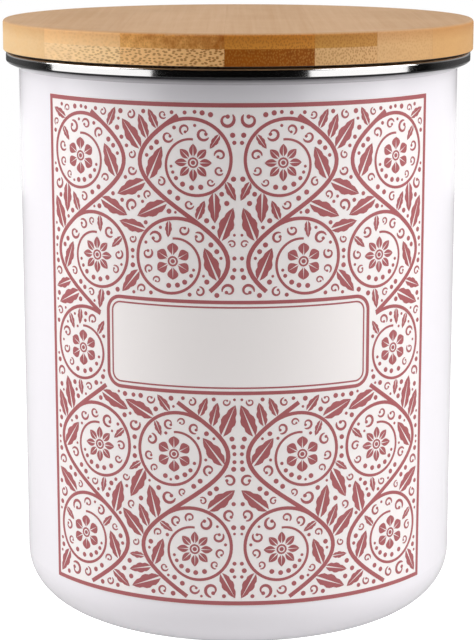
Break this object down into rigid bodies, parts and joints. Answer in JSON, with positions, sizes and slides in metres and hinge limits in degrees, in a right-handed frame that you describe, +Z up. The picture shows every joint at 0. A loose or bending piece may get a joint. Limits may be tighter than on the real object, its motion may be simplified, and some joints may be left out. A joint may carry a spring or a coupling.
{
  "type": "biscuit tin",
  "caption": "Round enamelled steel biscuit canister with a stainless rim, a printed floral panel and a lift-off bamboo lid with a silicone seal.",
  "frame": {"origin": "centre of the base, on the surface that the tin stands on", "axes": "+Z up along the axis of the tin, -Y towards the printed front, +X to the right of someone facing the print"},
  "size_m": [0.1518, 0.1518, 0.1918],
  "materials": {
    "enamel": "gloss",
    "stainless": "polished",
    "print": "gloss",
    "bamboo_honey": "satin",
    "bamboo_straw": "satin",
    "bamboo_toast": "satin",
    "bamboo_umber": "satin",
    "silicone": "matte"
  },
  "bodies": {
    "canister": {"canister_shell": "enamel", "rim_band": "stainless", "print_panel": "print"},
    "lid": {"lid_upper_strip_1": "bamboo_honey", "lid_upper_strip_2": "bamboo_honey", "lid_upper_strip_3": "bamboo_toast", "lid_upper_strip_4": "bamboo_toast", "lid_upper_strip_5": "bamboo_toast", "lid_upper_strip_6": "bamboo_honey", "lid_upper_strip_7": "bamboo_honey", "lid_lower_strip_1": "bamboo_honey", "lid_lower_strip_2": "bamboo_honey", "lid_lower_strip_3": "bamboo_straw", "lid_lower_strip_4": "bamboo_umber", "lid_lower_strip_5": "bamboo_straw", "lid_lower_strip_6": "bamboo_honey", "lid_lower_strip_7": "bamboo_honey", "plug_strip_1": "bamboo_straw", "plug_strip_2": "bamboo_honey", "plug_strip_3": "bamboo_straw", "plug_strip_4": "bamboo_honey", "plug_strip_5": "bamboo_toast", "plug_strip_6": "bamboo_honey", "plug_strip_7": "bamboo_straw", "seal_ring": "silicone"}
  },
  "joints": [
    {"name": "lid_lift", "type": "slide", "parent": "canister", "child": "lid", "axis": [0, 0, 1], "range_m": [0, 0.06]}
  ]
}
